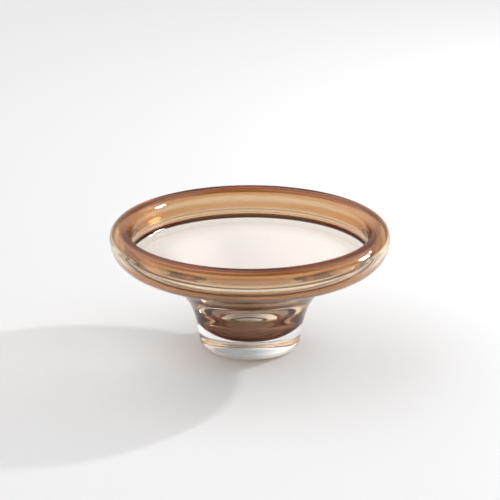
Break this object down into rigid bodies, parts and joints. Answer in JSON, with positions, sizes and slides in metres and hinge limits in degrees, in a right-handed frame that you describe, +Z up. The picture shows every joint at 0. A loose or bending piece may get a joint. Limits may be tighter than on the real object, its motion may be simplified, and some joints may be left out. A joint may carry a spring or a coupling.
{
  "type": "footed glass bowl",
  "caption": "Round footed bowl of thick cased glass: amber inside a clear skin, with a hollow folded rim, a wide shallow dish and a deep well in a heavy clear foot.",
  "frame": {"origin": "centre of the flat face that the foot rests on", "axes": "+Z up along the bowl's axis of revolution; X and Y are alike, because the bowl is round"},
  "size_m": [0.31, 0.31, 0.141],
  "materials": {
    "clear_glass": "thick clear crystal, fire-polished",
    "rim_amber_glass": "dense transparent amber glass, fire-polished",
    "seam_amber_glass": "dark brown amber glass, doubled in the fold",
    "pale_amber_glass": "pale transparent amber glass, fire-polished",
    "well_amber_glass": "transparent amber glass, fire-polished"
  },
  "bodies": {
    "root": {"foot_block": "clear_glass", "outer_casing": "clear_glass", "folded_lip": "clear_glass", "rim_lining": "rim_amber_glass", "seam_band": "seam_amber_glass", "dish_lining": "pale_amber_glass", "well_lining": "well_amber_glass"}
  },
  "joints": []
}
